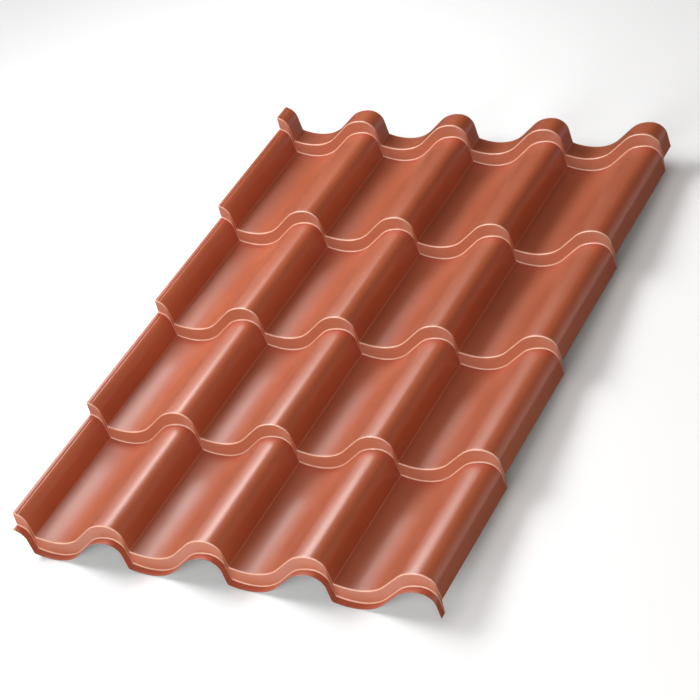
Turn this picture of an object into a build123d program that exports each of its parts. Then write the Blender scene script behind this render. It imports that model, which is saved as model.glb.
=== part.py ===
from build123d import *
from math import acos, asin, atan2, cos, degrees, hypot, pi, radians, sin, tan
import os

# Step-profiled metal roof tile sheet, lying face up.
# X runs across the sheet, Y up the roof slope (eave end at -Y), Z up.
# Origin: the centre of the sheet's bounding box, on the floor it lies on.

# ------------------------------------------------------------ dimensions, mm
sheet_t = 0.5            # coated steel, rolled and pressed from one coil

wave_pitch = 258.5       # crease to crease
wave_count = 4
crest_h = 75.7           # crest above the crease
crest_x = 224.5          # crest apex, measured from the crease on its left
trough_x = 53.5          # lowest line of the trough, from the same crease
trough_d = 11.0          # trough below the crease
trough_r = 111.0         # rising side of the trough
crest_r = 84.0           # rising side of the crest
wall_draft = 1.0         # steep side of the wave, degrees from upright
crease_r = 3.0           # rolled radius at the foot of the steep side
lip_w = 27.0             # side-lap edge left of the first crease
end_up = 2.7             # right-hand edge stops this far above the crease line
groove_at = 9.5          # drip groove along the side-lap edge, in from that edge
groove_d = 1.2           # its depth
groove_r = 1.5           # its rolled radii

module = 350.0           # length of one tile course
module_count = 4
step_h = 33.0            # height of the pressed step
step_lean = 4.7          # foot of the step stands this far ahead of its top
bend_r = 3.0             # pressed radius, upper surface, at top and foot of a step
bend_chords = 2          # flats that stand for one pressed bend
front_strip = 23.0       # sheet ahead of the first step
rear_strip = 52.0        # sheet behind the last step

# ------------------------------------------------------------ wave profile
# Elements run from left to right along the upper surface:
#   ("line", p0, p1) or ("arc", centre, radius, start, end, side)
# side is +1 where the arc is hollow upwards and -1 where it is round upwards.


def wave_elements(x0, from_x=None, to_z=None):
    """One wave from its crease at x0, or from a point on its crest's far side."""
    d = radians(wall_draft)
    r1 = (trough_x**2 + trough_d**2) / (2 * trough_d)
    r2, r3 = trough_r, crest_r
    r4 = (wave_pitch - crest_x - crest_h * tan(d)) * cos(d) / (1 - sin(d))
    c1 = (x0 + trough_x, -trough_d + r1)
    c2 = (x0 + trough_x, -trough_d + r2)
    c3 = (x0 + crest_x, crest_h - r3)
    c4 = (x0 + crest_x, crest_h - r4)
    dx, dz = c3[0] - c2[0], c3[1] - c2[1]
    rise = atan2(dz, dx) + asin((r2 + r3) / hypot(dx, dz))
    p_low = (c2[0] + r2 * sin(rise), c2[1] - r2 * cos(rise))
    p_high = (c3[0] - r3 * sin(rise), c3[1] + r3 * cos(rise))
    wall_top = (c4[0] + r4 * cos(d), c4[1] + r4 * sin(d))
    next_crease = (x0 + wave_pitch, 0.0)
    # rolled radius at the crease: tangent to the steep side before it and to
    # the trough arc after it
    def crease(xc):
        # centre lies crease_r right of the steep side and crease_r inside r1
        cx0, cz0, rr = xc + trough_x, -trough_d + r1, r1 - crease_r
        nx, nz = cos(d), sin(d)
        px, pz = xc + crease_r * nx, crease_r * nz
        ux, uz = -sin(d), cos(d)
        b = (px - cx0) * ux + (pz - cz0) * uz
        c = (px - cx0) ** 2 + (pz - cz0) ** 2 - rr**2
        s = [-b + k * (b * b - c) ** 0.5 for k in (1, -1)]
        s = min(s, key=abs)
        cc = (px + s * ux, pz + s * uz)
        foot = (cc[0] - crease_r * nx, cc[1] - crease_r * nz)
        a_end = atan2(cc[1] - cz0, cc[0] - cx0)
        return cc, foot, a_end
    out = []
    cc, foot, a_end = crease(x0)
    if from_x is None:
        out.append(("arc", c1, r1, a_end, -pi / 2, 1))
        out.append(("arc", c2, r2, -pi / 2, -pi / 2 + rise, 1))
        out.append(("line", p_low, p_high))
        out.append(("arc", c3, r3, pi / 2 + rise, pi / 2, -1))
        start = pi / 2
    else:
        # part of a wave: cut right of its apex, with the drip groove rolled in
        start = acos((from_x - c4[0]) / r4)
        at = start - groove_at / r4
        ra, rb = r4 - groove_r, r4 - groove_d + groove_r
        half = acos((ra**2 + rb**2 - (2 * groove_r) ** 2) / (2 * ra * rb))
        mid = (c4[0] + rb * cos(at), c4[1] + rb * sin(at))
        sides = [(c4[0] + ra * cos(at + k * half), c4[1] + ra * sin(at + k * half)) for k in (1, -1)]
        into, out_of = (atan2(mid[1] - q[1], mid[0] - q[0]) for q in sides)
        out.append(("arc", c4, r4, start, at + half, -1))
        out.append(("arc", sides[0], groove_r, at + half, into, -1))
        out.append(("arc", mid, groove_r, into - pi, out_of - pi, 1))
        out.append(("arc", sides[1], groove_r, out_of, at - half, -1))
        start = at - half
    out.append(("arc", c4, r4, start, d, -1))
    cc, foot, a_end = crease(x0 + wave_pitch)
    if to_z is None:
        out.append(("line", wall_top, foot))
        out.append(("arc", cc, crease_r, pi + d, a_end + 2 * pi, 1))
    else:
        t = (wall_top[1] - to_z) / wall_top[1]
        end = (
            wall_top[0] + (next_crease[0] - wall_top[0]) * t,
            wall_top[1] + (next_crease[1] - wall_top[1]) * t,
        )
        out.append(("line", wall_top, end))
    return out


def under(elements):
    """The same profile on the lower surface, sheet_t below it."""
    out = []
    for e in elements:
        if e[0] == "line":
            (ax, az), (bx, bz) = e[1], e[2]
            n = hypot(bx - ax, bz - az)
            ox, oz = sheet_t * (bz - az) / n, -sheet_t * (bx - ax) / n
            out.append(("line", (ax + ox, az + oz), (bx + ox, bz + oz)))
        else:
            out.append(("arc", e[1], e[2] + sheet_t * e[5], e[3], e[4], e[5]))
    return out


def ends(e):
    if e[0] == "line":
        return e[1], e[2]
    return tuple((e[1][0] + e[2] * cos(a), e[1][1] + e[2] * sin(a)) for a in (e[3], e[4]))


upper = wave_elements(-wave_pitch, from_x=-lip_w)
for k in range(wave_count):
    upper += wave_elements(k * wave_pitch, to_z=end_up if k == wave_count - 1 else None)
lower = under(upper)

# ------------------------------------------------------------ step profile
# The way the wave is carried along the sheet, as (y, z), from rear to front.
corners = [(module_count * module + rear_strip, None)]
for j in range(module_count, -1, -1):
    corners += [(j * module, step_h), (j * module - step_lean, 0.0)]
slope = step_h / (module - step_lean)
corners[0] = (corners[0][0], step_h - slope * rear_strip)
corners.append((-front_strip, slope * (front_strip - step_lean)))


def path_stations():
    """Pairs of points, upper and lower surface, along the step profile."""
    out = []
    for i, p in enumerate(corners):
        if i in (0, len(corners) - 1):
            out.append((p, (p[0], p[1] + sheet_t - sheet_t * hypot(1, slope))))
            continue
        a, b = corners[i - 1], corners[i + 1]
        d1, d2 = ((q[0] - p[0], q[1] - p[1]) for q in (a, b))
        n1, n2 = hypot(*d1), hypot(*d2)
        u1, u2 = (d1[0] / n1, d1[1] / n1), (d2[0] / n2, d2[1] / n2)
        half = acos(u1[0] * u2[0] + u1[1] * u2[1]) / 2
        bis = (u1[0] + u2[0], u1[1] + u2[1])
        nb = hypot(*bis)
        c = (p[0] + bis[0] / nb * bend_r / sin(half), p[1] + bis[1] / nb * bend_r / sin(half))
        convex = i % 2 == 1                  # top of a step, round upwards
        t1 = tuple(p[k] + u1[k] * bend_r / tan(half) for k in (0, 1))
        t2 = tuple(p[k] + u2[k] * bend_r / tan(half) for k in (0, 1))
        a1 = atan2(t1[1] - c[1], t1[0] - c[0])
        a2 = atan2(t2[1] - c[1], t2[0] - c[0])
        if a2 - a1 > pi:
            a2 -= 2 * pi
        if a1 - a2 > pi:
            a2 += 2 * pi
        r_low = bend_r - sheet_t if convex else bend_r + sheet_t
        for k in range(bend_chords + 1):
            a_k = a1 + (a2 - a1) * k / bend_chords
            out.append((
                (c[0] + bend_r * cos(a_k), c[1] + bend_r * sin(a_k)),
                (c[0] + r_low * cos(a_k), c[1] + r_low * sin(a_k) + sheet_t),
            ))
    return out


# place the sheet: centred on its outline, lowest line of the troughs on z = 0
x_mid = (wave_count * wave_pitch - end_up * tan(radians(wall_draft)) - lip_w) / 2
y_mid = (corners[0][0] + corners[-1][0]) / 2
z_low = -trough_d - sheet_t
stations = path_stations()
z_low += min(lo[1] for up, lo in stations)


def point(p, station):
    return (p[0] - x_mid, station[0] - y_mid, p[1] + station[1] - z_low)


def draw(e, station, back=False):
    """One profile element, drawn at a station of the step profile."""
    p0, p1 = ends(e)
    if back:
        p0, p1 = p1, p0
    if e[0] == "line":
        return Line(point(p0, station), point(p1, station))
    a = (e[3] + e[4]) / 2
    mid = (e[1][0] + e[2] * cos(a), e[1][1] + e[2] * sin(a))
    return ThreePointArc(point(p0, station), point(mid, station), point(p1, station))


# ------------------------------------------------------------ the sheet
# Every face is one element of the wave carried straight from one station of
# the step profile to the next: both surfaces, the two side edges, the two ends.
rows = []
for up, lo in stations:
    with BuildLine() as outline:
        top = [draw(e, up) for e in upper]
        right = Line(top[-1] @ 1, point(ends(lower[-1])[1], lo))
        bottom = [draw(e, lo, back=True) for e in reversed(lower)]
        left = Line(bottom[-1] @ 1, top[0] @ 0)
    rows.append((top, bottom, right, left))

faces = []
for i in range(len(stations) - 1):
    for surface in (0, 1):
        a, b = stations[i][surface], stations[i + 1][surface]
        faces += [Face.extrude(e, (0, b[0] - a[0], b[1] - a[1])) for e in rows[i][surface]]
    for side in (2, 3):
        a, b = rows[i][side], rows[i + 1][side]
        faces.append(Face(Wire.make_polygon([a @ 0, a @ 1, b @ 1, b @ 0])))
for top, bottom, right, left in (rows[0], rows[-1]):
    faces.append(Face(Wire(top + [right] + bottom + [left])))

with BuildPart() as tile_sheet:
    add(Solid(Shell(faces)))

tile_sheet.part.label = "tile_sheet"

os.makedirs("parts", exist_ok=True)
export_step(tile_sheet.part, "parts/tile_sheet.step")

box = tile_sheet.part.bounding_box()
print("size", box.size, "low", box.min, "volume", tile_sheet.part.volume, "valid", tile_sheet.part.is_valid)
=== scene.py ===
import bpy
import math
from math import acos, asin, atan2, cos, hypot, pi, radians, sin, tan
import numpy as np
from mathutils import Matrix, Vector


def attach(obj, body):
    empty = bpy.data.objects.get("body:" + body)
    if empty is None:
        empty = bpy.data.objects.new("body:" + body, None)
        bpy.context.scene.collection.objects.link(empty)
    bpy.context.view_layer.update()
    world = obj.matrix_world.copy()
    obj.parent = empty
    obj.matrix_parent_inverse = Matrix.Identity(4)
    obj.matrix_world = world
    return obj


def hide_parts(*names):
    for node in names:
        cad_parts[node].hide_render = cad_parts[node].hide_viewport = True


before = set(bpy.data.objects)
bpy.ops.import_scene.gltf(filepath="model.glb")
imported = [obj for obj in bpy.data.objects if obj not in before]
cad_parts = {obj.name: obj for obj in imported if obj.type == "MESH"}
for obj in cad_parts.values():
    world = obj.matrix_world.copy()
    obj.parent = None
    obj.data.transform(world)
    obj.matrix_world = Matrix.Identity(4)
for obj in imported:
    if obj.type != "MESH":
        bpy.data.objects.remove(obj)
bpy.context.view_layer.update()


# ---------------------------------------------------------------- dimensions
# The sheet's own dimensions, in millimetres, as in the part.
sheet_t = 0.5
wave_pitch, wave_count = 258.5, 4
crest_h, crest_x = 75.7, 224.5
trough_x, trough_d, trough_r = 53.5, 11.0, 111.0
crest_r = 84.0
wall_draft = 1.0
crease_r = 3.0
lip_w, end_up = 27.0, 2.7
groove_at, groove_d, groove_r = 9.5, 1.2, 1.5
module, module_count = 350.0, 4
step_h, step_lean = 33.0, 4.7
bend_r = 3.0
front_strip, rear_strip = 23.0, 52.0

ARC_STEP = radians(5.0)          # how finely the wave's arcs are drawn
BEND_STEPS = 6
FOOT_SHADE_LENGTH = 34.0              # reach of the painted shade ahead of each step's foot

# ---------------------------------------------------------------- finish
ROUGH, SPEC = 0.46, 0.60
COAT, COAT_ROUGH = 1.0, 0.32
# strengths of the bend's lighter line (partly stretched coat, partly painted highlight), of the painted shade at
# each step's foot and of the painted highlight along each crease
BEND_STRETCH_AND_HIGHLIGHT_TINT, FOOT_SHADE_TINT, CREASE_HIGHLIGHT_TINT = 0.85, 0.60, 0.70
# faint share of the bend's lighter tint, partly stretched coat and partly painted highlight, carried across each
# riser face
RISER_STRETCH_AND_HIGHLIGHT_TINT = 0.10

# ---------------------------------------------------------------- lamps
# size, position, target (metres) and power in watts
WORLD = 0.04                     # even light from above the horizon
GROUND = 0.65                    # brightness that gloss sees below it, front left
BAND = 0.6                       # and in a narrow patch behind on the right
LEVEL = 1.0
WHITE, WARM = (1.0, 1.0, 1.0), (1.0, 0.74, 0.60)
LAMPS = [
    ((2.0, 2.0), (-3.86, 2.23, 1.01), (0, 0, 0.05), 4.0),
    ((1.8, 1.8), (-3.13, 0.55, 3.23), (0, 0, 0.05), 50),
    ((2.0, 2.0), (1.05, -3.91, 2.02), (0, 0, 0.05), 36),
    ((2.0, 2.0), (0.0, -4.46, 1.01), (0, 0, 0.05), 58),
    ((2.0, 2.0), (-1.05, -3.91, 2.02), (0, 0, 0.05), 36),
    ((1.6, 0.9), (3.0, 2.7, 0.75), (0, 0, 0.05), 1.2),
    ((2.0, 2.0), (0, 0, 3.6), (0, 0, 0.05), 6),
    ((1.6, 1.6), (2.4, -3.0, 3.2), (0, 0, 0.05), 26),
    ((0.8, 0.7), (-0.72, 0.28, 1.35), (0, -0.3, 0.05), 4.0),
    ((0.6, 0.5), (-0.95, -0.05, 1.4), (0.1, -0.8, 0.05), 3.3),
    ((0.5, 0.45), (-0.95, 0.5, 0.95), (0.1, -0.25, 0.05), 0.8),
    ((0.7, 0.2), (-0.64, 0.02, 0.58), (-0.10, -0.35, 0.05), 0.4),
    ((0.9, 0.6), (-1.25, 0.72, 1.35), (-0.1, -0.4, 0.05), 6.2),
    ((0.8, 0.6), (-1.0, 1.25, 1.35), (-0.2, 0.2, 0.05), 4.0),
    ((0.5, 0.45), (-0.5, -0.05, 1.4), (0.0, -0.8, 0.05), 0.7),
]


# ---------------------------------------------------------------- the wave
def wave(x0, from_x=None, to_z=None):
    """Elements of one wave, left to right, along the upper surface."""
    d = radians(wall_draft)
    r1 = (trough_x**2 + trough_d**2) / (2 * trough_d)
    r2, r3 = trough_r, crest_r
    r4 = (wave_pitch - crest_x - crest_h * tan(d)) * cos(d) / (1 - sin(d))
    c1 = (x0 + trough_x, -trough_d + r1)
    c2 = (x0 + trough_x, -trough_d + r2)
    c3 = (x0 + crest_x, crest_h - r3)
    c4 = (x0 + crest_x, crest_h - r4)
    dx, dz = c3[0] - c2[0], c3[1] - c2[1]
    rise = atan2(dz, dx) + asin((r2 + r3) / hypot(dx, dz))
    p_low = (c2[0] + r2 * sin(rise), c2[1] - r2 * cos(rise))
    p_high = (c3[0] - r3 * sin(rise), c3[1] + r3 * cos(rise))
    wall_top = (c4[0] + r4 * cos(d), c4[1] + r4 * sin(d))

    def crease(xc):
        cx0, cz0, rr = xc + trough_x, -trough_d + r1, r1 - crease_r
        px, pz = xc + crease_r * cos(d), crease_r * sin(d)
        ux, uz = -sin(d), cos(d)
        b = (px - cx0) * ux + (pz - cz0) * uz
        c = (px - cx0) ** 2 + (pz - cz0) ** 2 - rr**2
        s = min((-b + k * (b * b - c) ** 0.5 for k in (1, -1)), key=abs)
        cc = (px + s * ux, pz + s * uz)
        foot = (cc[0] - crease_r * cos(d), cc[1] - crease_r * sin(d))
        return cc, foot, atan2(cc[1] - cz0, cc[0] - cx0)

    out = []
    cc, foot, a_end = crease(x0)
    if from_x is None:
        out.append(("arc", c1, r1, a_end, -pi / 2, 1))
        out.append(("arc", c2, r2, -pi / 2, -pi / 2 + rise, 1))
        out.append(("line", p_low, p_high))
        out.append(("arc", c3, r3, pi / 2 + rise, pi / 2, -1))
        start = pi / 2
    else:
        start = acos((from_x - c4[0]) / r4)
        at = start - groove_at / r4
        ra, rb = r4 - groove_r, r4 - groove_d + groove_r
        half = acos((ra**2 + rb**2 - (2 * groove_r) ** 2) / (2 * ra * rb))
        mid = (c4[0] + rb * cos(at), c4[1] + rb * sin(at))
        sides = [(c4[0] + ra * cos(at + k * half), c4[1] + ra * sin(at + k * half)) for k in (1, -1)]
        into, out_of = (atan2(mid[1] - q[1], mid[0] - q[0]) for q in sides)
        out.append(("arc", c4, r4, start, at + half, -1))
        out.append(("arc", sides[0], groove_r, at + half, into, -1))
        out.append(("arc", mid, groove_r, into - pi, out_of - pi, 1))
        out.append(("arc", sides[1], groove_r, out_of, at - half, -1))
        start = at - half
    out.append(("arc", c4, r4, start, d, -1))
    cc, foot, a_end = crease(x0 + wave_pitch)
    if to_z is None:
        out.append(("line", wall_top, foot))
        out.append(("arc", cc, crease_r, pi + d, a_end + 2 * pi, 1))
    else:
        t = (wall_top[1] - to_z) / wall_top[1]
        out.append(("line", wall_top, (
            wall_top[0] + (x0 + wave_pitch - wall_top[0]) * t,
            wall_top[1] - wall_top[1] * t,
        )))
    return out


def sample_wave():
    """Points of the profile: x, z, the upward normal nx, nz, and the crease."""
    elements = wave(-wave_pitch, from_x=-lip_w)
    for k in range(wave_count):
        elements += wave(k * wave_pitch, to_z=end_up if k == wave_count - 1 else None)
    pts = []
    for e in elements:
        if e[0] == "line":
            (ax, az), (bx, bz) = e[1], e[2]
            n = hypot(bx - ax, bz - az)
            nx, nz = -(bz - az) / n, (bx - ax) / n
            steps = max(2, int(n / 9.0))
            seg = [(ax + (bx - ax) * i / steps, az + (bz - az) * i / steps, nx, nz, 0.0) for i in range(steps + 1)]
        else:
            _, c, r, a0, a1, side = e
            step = ARC_STEP if r > 5 else radians(14)
            steps = max(2, int(math.ceil(abs(a1 - a0) / step)), int(r * abs(a1 - a0) / 7.0))
            seg = []
            for i in range(steps + 1):
                a = a0 + (a1 - a0) * i / steps
                # weight across the crease radius, later used for a painted highlight along the crease
                fold = sin(pi * i / steps) if side > 0 and r == crease_r else 0.0
                seg.append((c[0] + r * cos(a), c[1] + r * sin(a), -side * cos(a), -side * sin(a), fold))
        pts += seg if not pts else seg[1:]
    return np.array(pts)


# ---------------------------------------------------------------- the steps
path = [(module_count * module + rear_strip, None)]
for j in range(module_count, -1, -1):
    path += [(j * module, step_h), (j * module - step_lean, 0.0)]
slope = step_h / (module - step_lean)
path[0] = (path[0][0], step_h - slope * rear_strip)
path.append((-front_strip, slope * (front_strip - step_lean)))


def sample_path():
    """Rows (y, z upper, y, z lower, bend, below) from the rear to the front.

    bend is 1 on the crown of a pressed bend; below is the distance ahead of
    the last step foot, or -1 behind it.
    """
    rows = []

    def flat(a, b, foot_y):
        n = abs(b[0] - a[0])
        marks = [0.0]
        for m in (2, 4, 7, 11, 16, 22, 30, 40, 55, 80, 120, 170, 220, 270, 310, 330):
            if m < n - 3:
                marks.append(m)
        marks.append(n)
        for m in marks[1:-1]:
            t = m / n
            y, z = a[0] + (b[0] - a[0]) * t, a[1] + (b[1] - a[1]) * t
            rows.append((y, z, y, z + sheet_t - sheet_t * hypot(1, slope), 0.0, foot_y - y))

    foot_y = None
    for i, p in enumerate(path):
        if i in (0, len(path) - 1):
            rows.append((p[0], p[1], p[0], p[1] + sheet_t - sheet_t * hypot(1, slope), 0.0,
                         -1.0 if i == 0 else foot_y - p[0]))
        else:
            a, b = path[i - 1], path[i + 1]
            d1, d2 = ((q[0] - p[0], q[1] - p[1]) for q in (a, b))
            n1, n2 = hypot(*d1), hypot(*d2)
            u1, u2 = (d1[0] / n1, d1[1] / n1), (d2[0] / n2, d2[1] / n2)
            half = acos(u1[0] * u2[0] + u1[1] * u2[1]) / 2
            bis = (u1[0] + u2[0], u1[1] + u2[1])
            nb = hypot(*bis)
            c = (p[0] + bis[0] / nb * bend_r / sin(half), p[1] + bis[1] / nb * bend_r / sin(half))
            convex = i % 2 == 1
            t1 = tuple(p[k] + u1[k] * bend_r / tan(half) for k in (0, 1))
            t2 = tuple(p[k] + u2[k] * bend_r / tan(half) for k in (0, 1))
            a1 = atan2(t1[1] - c[1], t1[0] - c[0])
            a2 = atan2(t2[1] - c[1], t2[0] - c[0])
            if a2 - a1 > pi:
                a2 -= 2 * pi
            if a1 - a2 > pi:
                a2 += 2 * pi
            r_low = bend_r - sheet_t if convex else bend_r + sheet_t
            for k in range(BEND_STEPS + 1):
                t = k / BEND_STEPS
                a_k = a1 + (a2 - a1) * t
                # the riser half of each bend keeps a faint weight, so the riser face carries a little of the bend's
                # lighter tint, partly painted highlight
                rows.append((
                    c[0] + bend_r * cos(a_k), c[1] + bend_r * sin(a_k),
                    c[0] + r_low * cos(a_k), c[1] + r_low * sin(a_k) + sheet_t,
                    max(sin(pi * t), RISER_STRETCH_AND_HIGHLIGHT_TINT if (t > 0.5) == convex else 0.0),
                    0.0 if k == BEND_STEPS and not convex else -1.0,
                ))
            if not convex:
                foot_y = t2[0]
        if i < len(path) - 1:
            nxt = path[i + 1]
            if abs(nxt[0] - p[0]) > 10:
                last = rows[-1]
                if i + 1 < len(path) - 1:
                    a, b = path[i], path[i + 2]
                    d1, d2 = ((q[0] - nxt[0], q[1] - nxt[1]) for q in (a, b))
                    n1, n2 = hypot(*d1), hypot(*d2)
                    half = acos((d1[0] * d2[0] + d1[1] * d2[1]) / (n1 * n2)) / 2
                    end = tuple(nxt[k] + d1[k] / n1 * bend_r / tan(half) for k in (0, 1))
                else:
                    end = nxt
                flat((last[0], last[1]), end, foot_y if foot_y is not None else last[0] + 1000)
    return np.array(rows)


profile = sample_wave()
rows = sample_path()
x_mid = (wave_count * wave_pitch - end_up * tan(radians(wall_draft)) - lip_w) / 2
y_mid = (path[0][0] + path[-1][0]) / 2
z_low = -trough_d - sheet_t + rows[:, 3].min()

M, K = len(profile), len(rows)
X = profile[:, 0][:, None] - x_mid
up = np.empty((M, K, 3))
lo = np.empty((M, K, 3))
up[..., 0] = X
up[..., 1] = rows[:, 0][None, :] - y_mid
up[..., 2] = profile[:, 1][:, None] + rows[:, 1][None, :] - z_low
lo[..., 0] = X - sheet_t * profile[:, 2][:, None]
lo[..., 1] = rows[:, 2][None, :] - y_mid
lo[..., 2] = (profile[:, 1] - sheet_t * profile[:, 3])[:, None] + rows[:, 3][None, :] - z_low

verts = np.concatenate([up.reshape(-1, 3), lo.reshape(-1, 3)]) / 1000.0
iu = np.arange(M * K).reshape(M, K)
il = iu + M * K
faces, mats = [], []
for i in range(M - 1):
    for j in range(K - 1):
        faces.append((iu[i, j], iu[i, j + 1], iu[i + 1, j + 1], iu[i + 1, j]))
        mats.append(0)
for i in range(M - 1):
    for j in range(K - 1):
        faces.append((il[i, j], il[i + 1, j], il[i + 1, j + 1], il[i, j + 1]))
        mats.append(1)
for j in range(K - 1):
    faces.append((iu[0, j], il[0, j], il[0, j + 1], iu[0, j + 1]))
    faces.append((iu[-1, j], iu[-1, j + 1], il[-1, j + 1], il[-1, j]))
    mats += [2, 2]
for i in range(M - 1):
    faces.append((iu[i, 0], iu[i + 1, 0], il[i + 1, 0], il[i, 0]))
    faces.append((iu[i, -1], il[i, -1], il[i + 1, -1], iu[i + 1, -1]))
    mats += [2, 2]

mesh = bpy.data.meshes.new("roof_tile_sheet")
mesh.from_pydata(verts.tolist(), [], [tuple(int(a) for a in f) for f in faces])
mesh.polygons.foreach_set("material_index", mats)
mesh.polygons.foreach_set("use_smooth", [m != 2 for m in mats])


def mark(name, values):
    """A value at each point of the upper surface, 0 on the lower one."""
    a = mesh.attributes.new(name, "FLOAT", "POINT")
    v = np.broadcast_to(values, (M, K)).reshape(-1)
    a.data.foreach_set("value", np.concatenate([v, v * 0]).astype(np.float32))


# the crown of each pressed bend: it gets a lighter line, partly the coat stretched by the press and partly a
# painted highlight, and a duller gloss
mark("bend", rows[:, 4][None, :])
# painted shade: a darker tone at the foot of each step, fading out over its set reach ahead of the foot
ahead = rows[:, 5]
foot_shade_fade = np.where(ahead < 0, 0.0, np.clip(1 - ahead / FOOT_SHADE_LENGTH, 0, 1) ** 1.5)
mark("foot_shade", foot_shade_fade[None, :])
# the rolled crease at the foot of each steep side, which gets a painted highlight: a thin lighter line
mark("crease", profile[:, 4][:, None])
mesh.update()
mesh.validate()
sheet = bpy.data.objects.new("roof_tile_sheet", mesh)
bpy.context.scene.collection.objects.link(sheet)
mesh.set_sharp_from_angle(angle=radians(60))


# ---------------------------------------------------------------- materials
# The sheet is coil-coated steel: a satin terracotta coat on top, a pale primer
# underneath and bare zinc and steel at the cut edges.
def new_material(name):
    m = bpy.data.materials.new(name)
    m.use_nodes = True
    nt = m.node_tree
    return m, nt, nt.nodes["Principled BSDF"]


class Net:
    """Short-hand for a node tree in the object's own coordinates, in metres."""

    def __init__(self, nt, space="Object"):
        self.nt = nt
        self.where = nt.nodes.new("ShaderNodeTexCoord").outputs[space]

    def axes(self):
        n = self.nt.nodes.new("ShaderNodeSeparateXYZ")
        self.put(n.inputs[0], self.where)
        return n.outputs

    def put(self, socket, value):
        if isinstance(value, bpy.types.NodeSocket):
            self.nt.links.new(value, socket)
        else:
            socket.default_value = value

    def noise(self, scale, detail=2.0, rough=0.5, stretch=(1, 1, 1), seed=(0, 0, 0)):
        m = self.nt.nodes.new("ShaderNodeMapping")
        self.put(m.inputs["Vector"], self.where)
        m.inputs["Location"].default_value = seed
        m.inputs["Scale"].default_value = stretch
        n = self.nt.nodes.new("ShaderNodeTexNoise")
        self.put(n.inputs["Vector"], m.outputs["Vector"])
        n.inputs["Scale"].default_value = scale
        n.inputs["Detail"].default_value = detail
        n.inputs["Roughness"].default_value = rough
        return n.outputs["Fac"]

    def attribute(self, name):
        n = self.nt.nodes.new("ShaderNodeAttribute")
        n.attribute_name = name
        return n.outputs["Fac"]

    def remap(self, value, low, high, to_low, to_high, smooth=True):
        n = self.nt.nodes.new("ShaderNodeMapRange")
        n.interpolation_type = "SMOOTHSTEP" if smooth else "LINEAR"
        for k, v in zip(("Value", "From Min", "From Max", "To Min", "To Max"), (value, low, high, to_low, to_high)):
            self.put(n.inputs[k], v)
        return n.outputs["Result"]

    def math(self, op, a, b=0.0):
        n = self.nt.nodes.new("ShaderNodeMath")
        n.operation = op
        self.put(n.inputs[0], a)
        self.put(n.inputs[1], b)
        return n.outputs[0]

    def mix(self, fac, a, b):
        n = self.nt.nodes.new("ShaderNodeMix")
        n.data_type = "RGBA"
        self.put(n.inputs[0], fac)
        self.put(n.inputs[6], a)
        self.put(n.inputs[7], b)
        return n.outputs[2]

    def bump(self, height, strength, distance, base=None):
        n = self.nt.nodes.new("ShaderNodeBump")
        n.inputs["Strength"].default_value = strength
        n.inputs["Distance"].default_value = distance
        self.put(n.inputs["Height"], height)
        if base is not None:
            self.put(n.inputs["Normal"], base)
        return n.outputs["Normal"]


BASE = (0.415, 0.089, 0.030, 1)
coat, nt, bsdf = new_material("terracotta_coil_coating")
net = Net(nt)
# colour: slow drift over the sheet, faint streaks along the coil, fine flecks;
# a lighter line on each bend, partly the coat stretched by the press and partly a painted highlight;
# painted shade at the foot of each step, and a painted highlight along each crease
drift = net.remap(net.noise(5.0, 3.0), 0.3, 0.7, 0.0, 1.0)
colour = net.mix(drift, (BASE[0] * 0.95, BASE[1] * 0.93, BASE[2] * 0.92, 1),
                 (BASE[0] * 1.05, BASE[1] * 1.08, BASE[2] * 1.10, 1))
streak = net.remap(net.noise(1.0, 4.0, 0.6, (90.0, 1.1, 90.0), (3, 1, 7)), 0.35, 0.65, 0.0, 0.10)
colour = net.mix(streak, colour, (BASE[0] * 1.22, BASE[1] * 1.45, BASE[2] * 1.6, 1))
fleck = net.remap(net.noise(900.0, 1.0, 0.5, (1, 1, 1), (1, 5, 2)), 0.60, 0.74, 0.0, 0.16)
colour = net.mix(fleck, colour, (BASE[0] * 0.62, BASE[1] * 0.55, BASE[2] * 0.55, 1))
foot_shade = net.attribute("foot_shade")
# painted shade: a deeper, darker red just ahead of each step's foot
colour = net.mix(net.math("MULTIPLY", foot_shade, FOOT_SHADE_TINT), colour, (0.42, 0.040, 0.012, 1))
bend_at = net.attribute("bend")
fold = net.math("MULTIPLY", bend_at, net.remap(net.noise(60.0, 2.0), 0.3, 0.7, BEND_STRETCH_AND_HIGHLIGHT_TINT * 0.8, BEND_STRETCH_AND_HIGHLIGHT_TINT))
# lighter line on each bend: partly the coat stretched by the press, partly a painted highlight
colour = net.mix(fold, colour, (0.92, 0.58, 0.42, 1))
crease_at = net.attribute("crease")
# painted highlight: a thin lighter line along each rolled crease
colour = net.mix(net.math("MULTIPLY", crease_at, CREASE_HIGHLIGHT_TINT), colour, (0.62, 0.22, 0.13, 1))
net.put(bsdf.inputs["Base Color"], colour)
# gloss: satin, a little uneven, duller on the stretched bends
patch = net.remap(net.noise(11.0, 4.0, 0.6, (1, 1, 1), (9, 2, 4)), 0.3, 0.7, ROUGH - 0.03, ROUGH + 0.03)
rib = net.remap(net.noise(1.0, 3.0, 0.5, (160.0, 1.6, 160.0), (2, 8, 5)), 0.35, 0.65, -0.015, 0.015)
gloss = net.math("ADD", net.math("ADD", patch, rib), net.math("MULTIPLY", bend_at, 0.10))
net.put(bsdf.inputs["Roughness"], gloss)
# relief: orange peel of the paint over a slow waviness of the thin sheet
slow = net.bump(net.noise(13.0, 2.0, 0.4, (1.0, 0.45, 1.0)), 1.0, 0.0006)
peel = net.bump(net.noise(520.0, 2.0, 0.5), 0.22, 0.00008, slow)
net.put(bsdf.inputs["Normal"], peel)
bsdf.inputs["Specular IOR Level"].default_value = SPEC
bsdf.inputs["Coat Weight"].default_value = COAT
bsdf.inputs["Coat Roughness"].default_value = COAT_ROUGH
bsdf.inputs["Coat IOR"].default_value = 1.5

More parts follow.
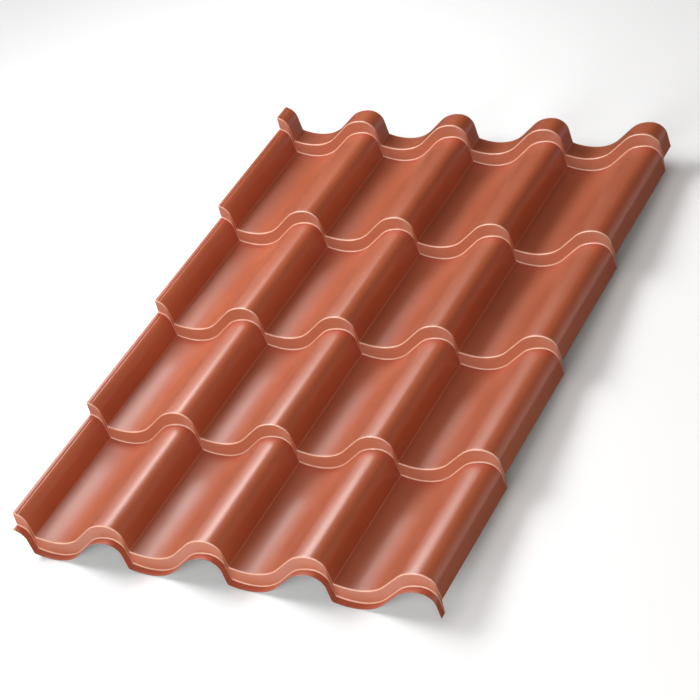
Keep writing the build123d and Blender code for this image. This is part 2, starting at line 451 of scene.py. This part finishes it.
back, nt2, bsdf2 = new_material("back_coat_primer")
net = Net(nt2)
tone = net.remap(net.noise(7.0, 4.0, 0.6), 0.3, 0.7, 0.0, 1.0)
colour = net.mix(tone, (0.42, 0.41, 0.385, 1), (0.50, 0.49, 0.465, 1))
roller = net.remap(net.noise(1.0, 4.0, 0.6, (140.0, 1.3, 140.0), (5, 3, 1)), 0.35, 0.65, 0.0, 0.35)
colour = net.mix(roller, colour, (0.36, 0.355, 0.34, 1))
scuff = net.remap(net.noise(1.0, 5.0, 0.7, (30.0, 9.0, 30.0), (7, 7, 7)), 0.60, 0.75, 0.0, 0.35)
colour = net.mix(scuff, colour, (0.58, 0.57, 0.55, 1))
net.put(bsdf2.inputs["Base Color"], colour)
net.put(bsdf2.inputs["Roughness"], net.remap(net.noise(16.0, 4.0, 0.6), 0.3, 0.7, 0.52, 0.66))
net.put(bsdf2.inputs["Normal"], net.bump(net.noise(650.0, 2.0, 0.5), 0.3, 0.00008))
bsdf2.inputs["Specular IOR Level"].default_value = 0.4

cut, nt3, bsdf3 = new_material("cut_steel_edge")
net = Net(nt3)
burr = net.remap(net.noise(420.0, 3.0, 0.6), 0.35, 0.65, 0.0, 1.0)
colour = net.mix(burr, (0.30, 0.28, 0.27, 1), (0.52, 0.50, 0.48, 1))
smear = net.remap(net.noise(130.0, 3.0, 0.6, (1, 1, 1), (4, 4, 1)), 0.45, 0.62, 0.35, 0.85)
colour = net.mix(smear, colour, (0.40, 0.12, 0.06, 1))
net.put(bsdf3.inputs["Base Color"], colour)
net.put(bsdf3.inputs["Roughness"], net.remap(burr, 0.0, 1.0, 0.35, 0.6, False))
net.put(bsdf3.inputs["Metallic"], net.remap(smear, 0.35, 0.85, 0.9, 0.1, False))
net.put(bsdf3.inputs["Normal"], net.bump(net.noise(1.0, 2.0, 0.5, (900.0, 900.0, 150.0)), 0.5, 0.0001))

for m in (coat, back, cut):
    mesh.materials.append(m)

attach(sheet, "root")
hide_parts("tile_sheet")

# ---------------------------------------------------------------- the studio
floor_mesh = bpy.data.meshes.new("floor")
floor_mesh.from_pydata([(-30, -30, 0), (30, -30, 0), (30, 30, 0), (-30, 30, 0)], [], [(0, 1, 2, 3)])
floor = bpy.data.objects.new("floor", floor_mesh)
bpy.context.scene.collection.objects.link(floor)
fm, fnt, fb = new_material("pale_floor")
net = Net(fnt)
net.put(fb.inputs["Base Color"], net.mix(net.noise(1.5, 3.0), (0.93, 0.93, 0.93, 1), (0.96, 0.96, 0.96, 1)))
fb.inputs["Roughness"].default_value = 0.9
fb.inputs["Specular IOR Level"].default_value = 0.1
floor_mesh.materials.append(fm)
floor.visible_glossy = False

world = bpy.data.worlds.new("studio")
bpy.context.scene.world = world
world.use_nodes = True
bg = world.node_tree.nodes["Background"]
# even above the horizon; below it, where only gloss looks, the studio's ground
# is bright in front on the left and dark behind on the right
net = Net(world.node_tree, "Generated")
x, y, z = net.axes()
toward = net.math("SUBTRACT", net.math("MULTIPLY", x, -0.62), net.math("MULTIPLY", y, 0.78))
ground = net.remap(toward, -0.1, 0.6, 0.01, GROUND)
# the patch that the steep sides mirror as a soft band
aside = net.math("ADD", net.math("MULTIPLY", x, 0.77), net.math("MULTIPLY", y, 0.60))
aside = net.math("ADD", aside, net.math("MULTIPLY", z, -0.20))
ground = net.math("ADD", ground, net.remap(aside, 0.90, 0.99, 0.0, BAND))
level = net.mix(net.remap(z, -0.08, 0.02, 1.0, 0.0), (WORLD, WORLD, WORLD, 1), ground)
net.put(bg.inputs["Color"], level)
bg.inputs["Strength"].default_value = 1.0


def area(name, size, at, target, power, colour=(1, 1, 1), near=False):
    lamp = bpy.data.lights.new(name, "AREA")
    lamp.shape = "RECTANGLE"
    lamp.size, lamp.size_y = size
    lamp.energy = power
    lamp.color = colour
    ob = bpy.data.objects.new(name, lamp)
    bpy.context.scene.collection.objects.link(ob)
    ob.location = at
    ob.rotation_euler = (Vector(target) - Vector(at)).to_track_quat("-Z", "Y").to_euler()
    ob.visible_camera = not near
    return ob


for k, (size, at, target, power) in enumerate(LAMPS):
    area("softbox_%d" % (k + 1), size, at, target, power * LEVEL, WHITE, True)


def broad(name, toward, strength, spread):
    """Even light from far away, so the floor stays pale into the distance."""
    lamp = bpy.data.lights.new(name, "SUN")
    lamp.energy = strength
    lamp.angle = radians(spread)
    ob = bpy.data.objects.new(name, lamp)
    bpy.context.scene.collection.objects.link(ob)
    ob.rotation_euler = (-Vector(toward)).to_track_quat("-Z", "Y").to_euler()


broad("broad_left", (-3.13, 0.55, 3.18), 0.72, 23)
broad("broad_top", (-0.2, 0.1, 1.0), 0.46, 32)
area("warm_side", (1.6, 1.6), (4.0, 0.3, 1.3), (0, 0, 0.05), 18.0, WARM, True)

# ---------------------------------------------------------------- the camera
R = [
    [0.8696742757241422, 0.40373165094779395, -0.2840200840902931],
    [0.08729896991561278, -0.6921003265342793, -0.7165026363264945],
    [-0.48584518521372777, 0.5983292505252543, -0.637147207457214],
]
T = Vector((-701.8799764890703, 444.5153110615699, 5211.9750363617895))
turn = Matrix(R)
place = -(turn.transposed() @ T)
place = Vector((place.x - x_mid, place.y - y_mid, place.z - z_low)) / 1000.0
flip = Matrix(((1, 0, 0), (0, -1, 0), (0, 0, -1)))
cam_data = bpy.data.cameras.new("camera")
cam_data.sensor_width = 36.0
cam_data.sensor_fit = "HORIZONTAL"
cam_data.lens = 2302.2158812425773 / 700.0 * 36.0
cam_data.clip_end = 100.0
cam = bpy.data.objects.new("camera", cam_data)
bpy.context.scene.collection.objects.link(cam)
cam.matrix_world = Matrix.Translation(place) @ (flip @ turn).transposed().to_4x4()
bpy.context.scene.camera = cam

bpy.context.scene.view_settings.view_transform = "Standard"
